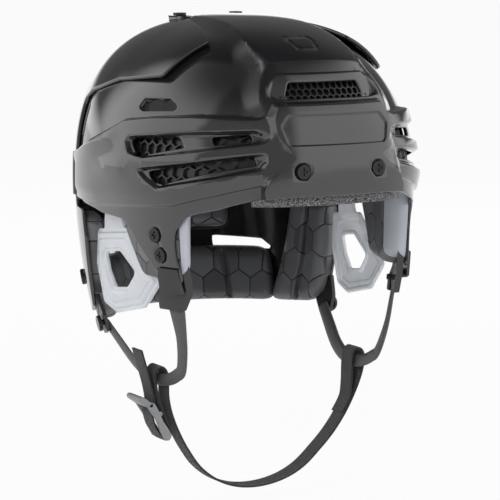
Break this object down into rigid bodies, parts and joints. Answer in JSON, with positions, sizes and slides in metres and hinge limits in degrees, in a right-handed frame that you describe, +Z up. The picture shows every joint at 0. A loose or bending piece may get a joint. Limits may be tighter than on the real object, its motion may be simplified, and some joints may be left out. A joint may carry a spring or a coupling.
{
  "type": "ice hockey helmet",
  "caption": "Ice hockey helmet with a two-piece sliding shell, side vents, clear ear guards, strap loops and a chin strap with a ladder-lock buckle.",
  "frame": {"origin": "centre of the head space, level with the lower edge of the brow", "axes": "+Z up, the face opening looks along -Y, the wearer's right is -X"},
  "size_m": [0.215, 0.2775, 0.3229],
  "materials": {
    "shell": "moulded, high gloss black",
    "foam": "closed-cell foam with pressed hexagon seams",
    "trim": "cut speckled foam",
    "liner": "moulded honeycomb",
    "clear_plate": "translucent moulded plate",
    "fittings": "moulded nylon",
    "moulded_strap": "matte moulded strap",
    "webbing": "woven polyester webbing",
    "buckle_plastic": "moulded nylon, slight speckle",
    "screws": "blackened steel, semi-gloss"
  },
  "bodies": {
    "front": {"front_shell": "shell", "temple_pad_right": "foam", "temple_pad_left": "foam", "side_pad_right": "foam", "side_pad_left": "foam", "forehead_pad": "foam", "crown_pad": "foam", "brow_trim": "trim", "side_liner_right": "liner", "side_liner_left": "liner", "window_liner": "liner", "ear_guard_right": "clear_plate", "ear_guard_left": "clear_plate", "ear_guard_posts_right": "fittings", "ear_guard_posts_left": "fittings", "v_loop_right": "moulded_strap", "v_loop_left": "moulded_strap", "front_strap_anchor_right": "fittings", "front_strap_anchor_left": "fittings", "visor_screws": "screws", "visor_nuts": "screws", "side_screws_right": "screws", "side_screws_left": "screws", "side_nuts_right": "screws", "side_nuts_left": "screws", "size_screws": "screws", "size_nuts": "screws"},
    "rear": {"rear_shell": "shell", "rear_side_pad_right": "foam", "rear_side_pad_left": "foam", "occipital_pad": "foam", "upper_rear_pad": "foam", "rear_strap_anchor_right": "fittings", "rear_strap_anchor_left": "fittings", "strap_stud_right": "screws", "strap_stud_left": "screws", "rear_stud_right": "fittings", "rear_stud_left": "fittings"},
    "chin_strap": {"chin_webbing": "webbing"},
    "buckle": {"buckle": "buckle_plastic"}
  },
  "joints": [
    {"name": "size_adjust", "type": "slide", "parent": "front", "child": "rear", "axis": [0, 1, 0], "range_m": [0, 0.012]},
    {"name": "chin_strap_swing", "type": "hinge", "parent": "front", "child": "chin_strap", "pos_m": [0, -0.0277, -0.0749], "axis": [1, 0, 0], "range_deg": [-12, 12]},
    {"name": "buckle_tilt", "type": "hinge", "parent": "chin_strap", "child": "buckle", "pos_m": [-0.07349, -0.02693, -0.16853], "axis": [0, -1, 0], "range_deg": [0, 8]}
  ]
}
